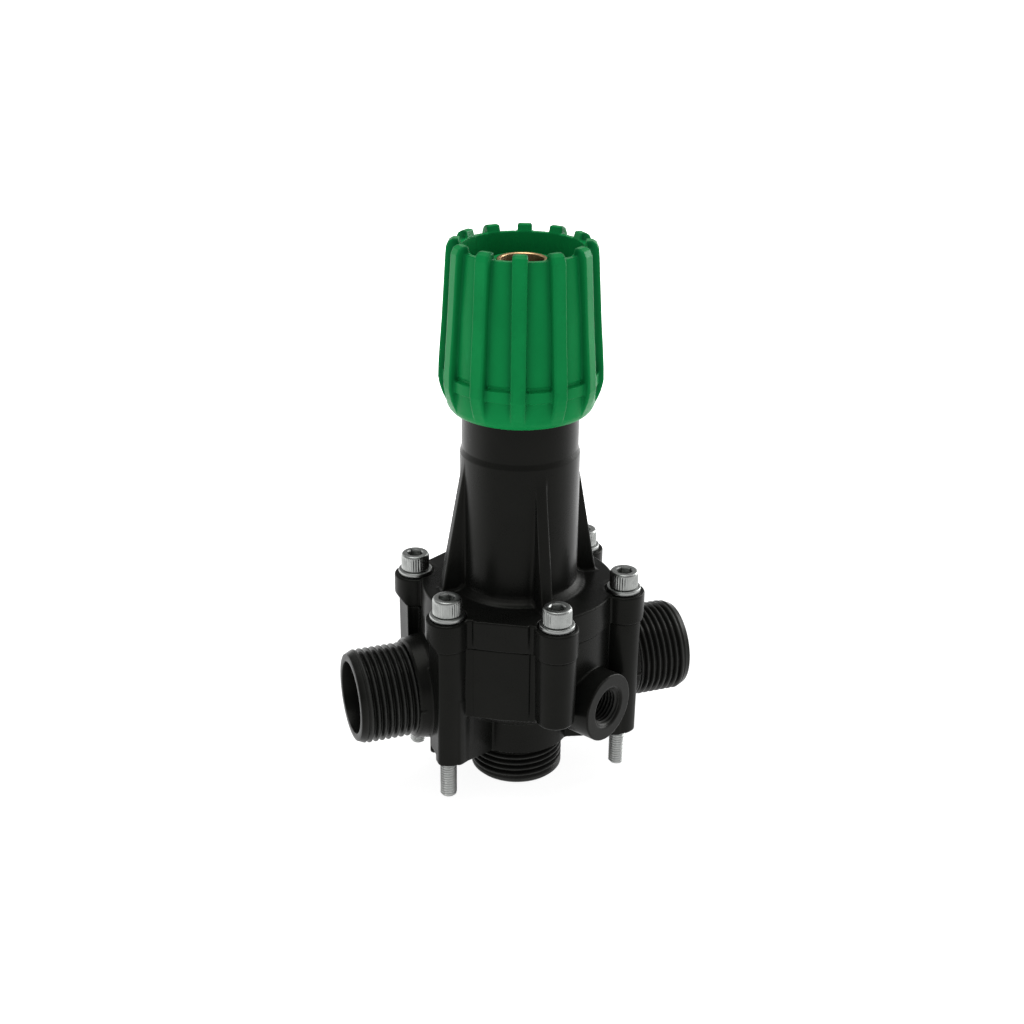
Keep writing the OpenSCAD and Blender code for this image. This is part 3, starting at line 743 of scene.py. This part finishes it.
def female_thread(name, face, depth, pitch, minor, major, outer, seg, step):
    """Ring with a helical thread on its inside, from z = face down to face - depth."""
    a = np.linspace(0, 2 * math.pi, seg, endpoint=False)
    z = np.arange(face - depth, face + step / 2, step)
    Z, A = np.meshgrid(z, a, indexing="ij")
    h = thread_wave((Z - A / (2 * math.pi) * pitch) / pitch)
    Rr = major - (major - minor) * h
    Rr = np.maximum(Rr, outer - 0.15 - (face - Z) * 1.0)
    P = np.stack([Rr * np.cos(A), Rr * np.sin(A), Z], -1)
    other = [np.stack([(outer + 0.25) * np.cos(a), (outer + 0.25) * np.sin(a), np.full(seg, q)], -1) for q in (face, face - depth)]
    grid = np.concatenate([P, np.array(other)], 0)
    v, f = rings(grid, closed_u=True, closed_v=True)
    # mask for the painted highlight on the thread crests
    crest_highlight = np.zeros(grid.shape[:2])
    crest_highlight[:len(z)] = h
    return tag(mesh_object(name, v, f[:, ::-1], angle=40), "crest", crest_highlight.ravel())


gauge_t = female_thread("body_gauge_thread", 40.78, 11.5, 1.337, 5.75, 6.55, 7.0, 96, 0.12)
gauge_t.matrix_world = Matrix.Rotation(math.radians(-60), 4, "Z") @ Matrix.Translation((0, 0, PORT_Z * MM)) @ Matrix.Rotation(math.radians(90), 4, "Y")

piece(body, "housing", "black_nylon", "valve_body")
for o in (left, right_t, bottom, gauge_t):
    piece(o, "housing", "black_nylon", "valve_body")
piece(bonnet, "housing", "black_nylon", "bonnet")
piece(knob, "knob", "knob_green", "control_knob")


# ------------------------------------------------------------------ screws and washers
HEAD_TOP, HEAD_SEAT = 82.0, 76.0


def cap_head(name):
    """Knurled socket head, standing on z = 0."""
    knurls = 36
    seg = knurls * 4
    a = np.linspace(0, 2 * math.pi, seg, endpoint=False)
    k = np.array([0.0, 0.10, 0.16, 0.10])[np.arange(seg) % 4]
    hexr = 2.5 / np.cos((a + math.pi / 6) % (math.pi / 3) - math.pi / 6)
    one = np.ones(seg)
    rows = [
        (3.05 * one, 0.0), (4.55 * one, 0.0), (4.85 * one, 0.18), (5.0 * one - k * 0.2, 0.42), (5.0 * one - k, 0.7), (5.0 * one - k, 2.4), (5.0 * one - k, 4.2), (5.0 * one - k, 5.0),
        (4.93 * one - k * 0.5, 5.28), (4.78 * one, 5.55), (4.60 * one, 5.80), (4.42 * one, 5.94), (4.25 * one, 6.0), (3.4 * one, 6.0),
        (hexr * 0.35 + 3.0 * 0.65 + 0.05, 5.97), (hexr + 0.12, 5.72), (hexr, 5.5), (hexr, 4.2), (hexr, 3.0), (hexr * 0.92, 2.86), (1.4 * one, 2.55), (0.4 * one, 2.3)]
    grid = np.array([np.stack([r * np.cos(a), r * np.sin(a), np.full(seg, z)], -1) for r, z in rows])
    v, f = rings(grid, True, False)
    v = list(map(tuple, v))
    f = [tuple(q) for q in f]
    for base, z, flip in ((0, 0.0, True), ((len(rows) - 1) * seg, 2.25, False)):
        c = len(v)
        v.append((0, 0, z))
        for j in range(seg):
            q = (base + j, base + (j + 1) % seg, c)
            f.append(q[::-1] if flip else q)
    return mesh_object(name, v, f, angle=28)


def shank(name, top, tip, threaded_to, seg=48, step=0.125):
    """M6 shank with a helical thread from its tip up, tip at z = tip."""
    a = np.linspace(0, 2 * math.pi, seg, endpoint=False)
    z = np.concatenate([np.arange(tip, threaded_to, step), [threaded_to, (threaded_to + top) / 2, top]])
    Z, A = np.meshgrid(z, a, indexing="ij")
    w = np.abs(2 * ((Z - A / (2 * math.pi)) % 1.0) - 1)
    h = np.clip((0.5 - w) * 1.6 + 0.5, 0, 1)
    fade = np.clip((threaded_to - Z) / 1.0, 0, 1)
    Rr = 2.98 - 0.60 * (1 - h) * fade
    Rr = np.minimum(Rr, 2.25 + (Z - tip) * 1.1)
    P = np.stack([Rr * np.cos(A), Rr * np.sin(A), Z], -1)
    v, f = rings(P, True, False)
    v = list(map(tuple, v))
    f = [tuple(q) for q in f]
    for base, zc, flip in ((0, tip - 0.02, True), ((len(z) - 1) * seg, top, False)):
        c = len(v)
        v.append((0, 0, zc))
        for j in range(seg):
            q = (base + j, base + (j + 1) % seg, c)
            f.append(q[::-1] if flip else q)
    return mesh_object(name, v, f, angle=50)


head_ob = cap_head("screw_head")
head_me = head_ob.data
bpy.data.objects.remove(head_ob)
long_ob = shank("screw_long_shank", 76.1, 4.0, 24.0)
long_me = long_ob.data
bpy.data.objects.remove(long_ob)
short_ob = shank("screw_short_shank", 76.1, 46.0, 60.0)
short_me = short_ob.data
bpy.data.objects.remove(short_ob)
washer_ob = lathe("screw_washer", [(3.25, 74.45), (5.75, 74.40), (5.95, 74.5), (6.0, 74.75), (6.0, 75.6), (5.93, 75.88), (5.7, 76.0), (3.45, 76.0), (3.2, 75.8), (3.2, 74.6)], 96, closed=True, angle=50)
washer_me = washer_ob.data
bpy.data.objects.remove(washer_ob)
TURNS = {30: 17, 90: 40, 150: 4, 210: 31, 270: 12, 330: 52}
for ang, turn in TURNS.items():
    c = (R_BOLT * math.cos(math.radians(ang)) * MM, R_BOLT * math.sin(math.radians(ang)) * MM, 0)
    node = "short_screws" if ang in (90, 270) else "long_screws"
    for label, me, dz in (("head", head_me, HEAD_SEAT), ("shank", short_me if ang in (90, 270) else long_me, 0), ("washer", washer_me, 0)):
        me = me.copy()
        if label != "washer":
            me.transform(Matrix.Rotation(math.radians(turn), 4, "Z"))
        ob = bpy.data.objects.new(f"screw_{label}_{ang}", me)
        bpy.context.scene.collection.objects.link(ob)
        ob.matrix_world = Matrix.Translation((c[0], c[1], dz * MM))
        piece(ob, "housing", "zinc_steel", "screw_washers" if label == "washer" else node)
        if label == "shank":
            paint(ob, "zinc_thread")

# ------------------------------------------------------------------ spindle
spindle = lathe("spindle_brass", [(0, 135.02), (6.6, 135.02), (7, 135.4), (7, 137), (8, 137.6), (8, 163), (8.45, 163.1), (8.5, 163.3), (8.5, 190.2), (8.42, 190.5), (8.2, 190.68), (8.0, 190.7),
                                  (7.5, 190.7), (7.2, 190.55), (7.0, 190.25), (7.0, 168), (6.9, 166.4), (6.0, 166.0), (0, 166.0)], 128, angle=50)
co = np.empty(len(spindle.data.vertices) * 3)
spindle.data.vertices.foreach_get("co", co)
co = co.reshape(-1, 3) / MM
# mask for the painted shade inside the spindle's hollow
tag(spindle, "root", (np.hypot(co[:, 0], co[:, 1]) < 7.1) & (co[:, 2] > 160))
piece(spindle, "knob", "brass", "adjusting_spindle")


# ------------------------------------------------------------------ spring
def coil(name, r, w, z0, z1, n, steps=48, sides=16):
    m = int(n * steps)
    t = np.arange(m + 1) / steps
    e, p = 1.25, w * 1.03
    act = (z1 - z0 - w - 2 * e * p) / (n - 2 * e)
    zc = np.where(t < e, t * p, np.where(t > n - e, z1 - z0 - w - (n - t) * p, e * p + (t - e) * act)) + z0 + w / 2
    a = np.linspace(0, 2 * math.pi, sides, endpoint=False)
    rr = r + w / 2 * np.cos(a)[None, :]
    q = 2 * math.pi * t[:, None]
    P = np.stack([rr * np.cos(q), rr * np.sin(q), zc[:, None] + w / 2 * np.sin(a)[None, :]], -1)
    v, f = rings(P, True, False)
    v = list(map(tuple, v))
    f = [tuple(x)[::-1] for x in f]
    f.append(tuple(range(sides)))
    f.append(tuple(range(m * sides, (m + 1) * sides))[::-1])
    return mesh_object(name, v, f, angle=60)


def part_of(ob, name, t0, t1, steps=48, sides=16):
    """Copy of a coil's wire from turn t0 to turn t1, with a flat end at each."""
    co = np.empty(len(ob.data.vertices) * 3)
    ob.data.vertices.foreach_get("co", co)
    P = co.reshape(-1, sides, 3)[int(t0 * steps):int(t1 * steps) + 1] / MM
    v, f = rings(P, True, False)
    v = list(map(tuple, v))
    f = [tuple(x)[::-1] for x in f]
    f.append(tuple(range(sides)))
    f.append(tuple(range((len(P) - 1) * sides, len(P) * sides))[::-1])
    return mesh_object(name, v, f, angle=60)


# The spring's wire is split into its lower turns and its upper turns.
whole = coil("spring_whole", 13.2, 3.8, 68.05, 123.95, 8.5)
lower = part_of(whole, "spring_lower_turns", 0, 2.5)
upper = part_of(whole, "spring_upper_turns", 2.5, 8.5)
bpy.data.objects.remove(whole)
for ob, other, z0, z1 in ((lower, "poppet", 0.0835, 0.0715), (upper, "spring_follower", 0.0845, 0.1225)):
    paint(ob, "spring_steel")
    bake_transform(ob)
    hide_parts("pressure_spring")


# ------------------------------------------------------------------ diaphragm and retaining ring
def sector(name, mid, half, radii, low, high, steps=6):
    """Closed slab of a flat ring, from mid - half to mid + half degrees."""
    a = np.radians(np.linspace(mid - half, mid + half, steps + 1))
    outline = [(r, high) for r in radii] + [(r, low) for r in radii[::-1]]
    grid = np.array([[(r * math.cos(t), r * math.sin(t), z) for r, z in outline] for t in a])
    v, f = rings(grid, True, False)
    n = len(outline)
    f = [tuple(q) for q in f]
    f.append(tuple(range(n)))
    f.append(tuple(range(steps * n, (steps + 1) * n))[::-1])
    ob = mesh_object(name, list(map(tuple, v)), f, angle=40)
    bm = bmesh.new()
    bm.from_mesh(ob.data)
    bmesh.ops.recalc_face_normals(bm, faces=bm.faces)
    bm.to_mesh(ob.data)
    bm.free()
    return ob


# The sheet is clamped at its rim; here it is cut into twelve flat sectors.
for i in range(12):
    mid = 15 + i * 30
    leaf = sector(f"diaphragm_{mid}", mid, 15, [4.02, 9.0, 13.5] + list(np.linspace(15.5, 27.0, 9)) + [29.5, 32.4], 63.02, 64.98)
    paint(leaf, "rubber")
    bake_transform(leaf)
    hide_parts("diaphragm")

# It stops under the bush at the top of its travel, with 0.05 mm to spare.
snap = sector("spindle_snap_ring", 90, 171, [7.05, 7.2, 9.8, 9.95], 135.55, 136.95, steps=72)
piece(snap, "knob", "stainless", "retaining_ring")

# ------------------------------------------------------------------ stage and light
floor_me = bpy.data.meshes.new("floor")
floor_me.from_pydata([(-8, -8, 0), (8, -8, 0), (8, 8, 0), (-8, 8, 0)], [], [(0, 1, 2, 3)])
floor = bpy.data.objects.new("floor", floor_me)
bpy.context.scene.collection.objects.link(floor)
F = Mat("floor_paper")
fn = F.noise(8, 3, 0.5)
F.out(F.ramp(fn, [(0.3, (0.30, 0.30, 0.30)), (0.7, (0.31, 0.31, 0.31))]), 0.9, spec=0.0)
# painted light: the paper glows, more strongly away from the object and on the side of its back (+y)
def span(value, a, b, lo, hi):
    q = F.node("ShaderNodeMapRange", _interpolation_type="SMOOTHSTEP")
    F.link(value, q.inputs["Value"])
    for key, x in (("From Min", a), ("From Max", b), ("To Min", lo), ("To Max", hi)):
        q.inputs[key].default_value = x
    return q.outputs["Result"]


away = F.node("ShaderNodeVectorMath", _operation="LENGTH")
F.link(F.co.outputs["Object"], away.inputs[0])
behind = F.node("ShaderNodeVectorMath", _operation="DOT_PRODUCT")
F.link(F.co.outputs["Object"], behind.inputs[0])
behind.inputs[1].default_value = (0, 1, 0)
gain = F.math("ADD", 1.0, F.math("MULTIPLY", span(away.outputs["Value"], 0.14, 0.22, 0.0, 1.0), span(behind.outputs["Value"], -0.10, 0.12, 0.0, 0.95)))
# the glow of the paper is painted light
F.link(F.math("MULTIPLY", gain, F.ramp(fn, [(0.3, (0.99, 0.99, 0.99)), (0.7, (1.0, 1.0, 1.0))])), F.b.inputs["Emission Color"])
F.b.inputs["Emission Strength"].default_value = 0.92
floor.data.materials.append(F.m)
floor.location.z = -0.0002


def area(name, pos, target, size, power, color=(1, 1, 1)):
    d = bpy.data.lights.new(name, "AREA")
    d.shape = "RECTANGLE"
    d.size, d.size_y = size
    d.energy = power
    d.color = color
    o = bpy.data.objects.new(name, d)
    bpy.context.scene.collection.objects.link(o)
    o.location = pos
    v = Vector(target) - Vector(pos)
    o.rotation_euler = v.to_track_quat("-Z", "Y").to_euler()
    return o


target = (0, 0, 0.1)
area("side_left", (-0.60, 0.80, 0.45), target, (0.5, 0.8), 0.8)
area("side_right", (0.97, 0.22, 0.45), target, (0.5, 0.8), 5.0)
rim = area("side_rim", (0.97, 0.22, 0.45), target, (0.5, 0.8), 23.0)
rim.visible_diffuse = False
area("top", (-0.1, 0.1, 1.4), target, (1.0, 1.0), 9)
world = bpy.data.worlds.new("world")
world.use_nodes = True
wt = world.node_tree
bg = wt.nodes["Background"]
wc = wt.nodes.new("ShaderNodeTexCoord")
dot = wt.nodes.new("ShaderNodeVectorMath")
dot.operation = "DOT_PRODUCT"
dot.inputs[1].default_value = (0, 0, 1)
wt.links.new(wc.outputs["Generated"], dot.inputs[0])
rampn = wt.nodes.new("ShaderNodeValToRGB")
wt.links.new(dot.outputs["Value"], rampn.inputs["Fac"])
e = rampn.color_ramp.elements
for _ in range(2):
    e.new(0.5)
for i, (pos, val) in enumerate(((0.14, 1.0), (0.21, 0.80), (0.32, 0.16), (0.95, 0.70))):
    e[i].position, e[i].color = pos, (val, val, val, 1)
wt.links.new(rampn.outputs["Color"], bg.inputs[0])
bg.inputs[1].default_value = 1.0
bpy.context.scene.world = world
vs = bpy.context.scene.view_settings
vs.view_transform = "Standard"
vs.gamma = 1.0
